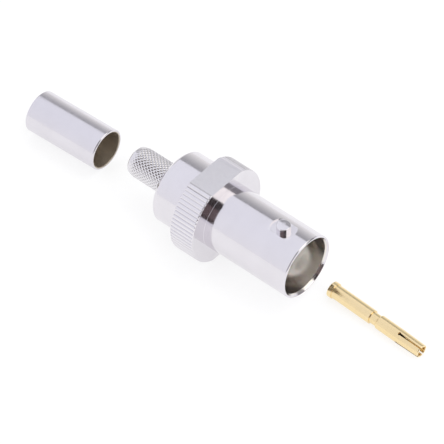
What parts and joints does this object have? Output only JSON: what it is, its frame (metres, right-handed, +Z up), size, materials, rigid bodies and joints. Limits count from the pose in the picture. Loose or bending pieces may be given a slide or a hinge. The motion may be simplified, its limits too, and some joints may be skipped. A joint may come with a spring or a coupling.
{
  "type": "bnc connector",
  "caption": "Crimp-type bnc cable jack: nickel-plated body with bayonet studs, knurled flange and crimp sleeve, laid out with its loose ferrule and gold slotted contact.",
  "frame": {"origin": "on the connector's axis, midway between the two bayonet studs, 4.15 mm behind the mating face", "axes": "+X out of the mouth along the connector's axis, +Z up, square to the wrench flats, +Y to the left when looking out of the mouth"},
  "size_m": [0.0677, 0.0144, 0.013],
  "materials": {
    "nickel_plate": "bright nickel over turned brass",
    "nickel_knurl": "nickel over fine diamond knurl",
    "nickel_tube": "satin nickel over annealed tube",
    "gold_plate": "thin gold over turned brass",
    "white_dielectric": "waxy white fluoropolymer"
  },
  "bodies": {
    "root": {"connector_body": "nickel_plate", "upper_bayonet_stud": "nickel_plate", "lower_bayonet_stud": "nickel_plate", "front_insulator": "white_dielectric", "rear_insulator": "white_dielectric", "crimp_sleeve": "nickel_knurl", "centre_contact": "gold_plate", "ferrule": "nickel_tube"}
  },
  "joints": []
}
